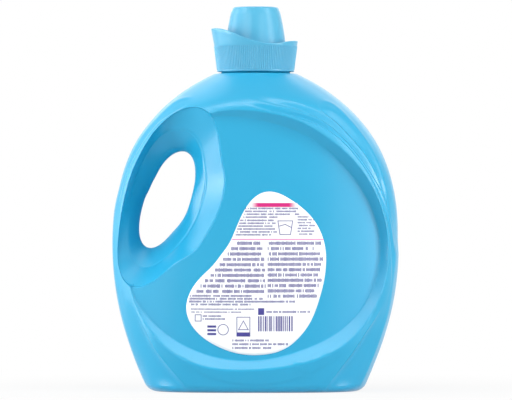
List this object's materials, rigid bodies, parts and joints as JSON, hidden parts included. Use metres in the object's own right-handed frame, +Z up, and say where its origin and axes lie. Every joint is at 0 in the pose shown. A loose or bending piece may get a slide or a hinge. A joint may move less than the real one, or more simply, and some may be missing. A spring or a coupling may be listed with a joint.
{
  "type": "fabric softener jug",
  "caption": "Blown plastic jug with a through handle, sunk label panels and a funnelled grip, closed by a ribbed screw-on measuring cap over a drain-back pour spout.",
  "frame": {"origin": "middle of the foot, on the surface that the jug stands on", "axes": "+Z up along the neck, -X towards the handle, -Y towards the labelled side"},
  "size_m": [0.2324, 0.126, 0.3107],
  "materials": {
    "bottle_plastic": "semi-gloss sky-blue blown polyethylene",
    "spout_plastic": "natural milky polyethylene",
    "cap_plastic": "glossy sky-blue moulded polypropylene",
    "label_film": "white printed film"
  },
  "bodies": {
    "jug": {"bottle": "bottle_plastic", "pour_spout": "spout_plastic", "back_label": "label_film"},
    "cap": {"cap": "cap_plastic"}
  },
  "joints": [
    {"name": "cap_lift", "type": "slide", "parent": "jug", "child": "cap", "axis": [0, 0, 1], "range_m": [0, 0.06]}
  ]
}
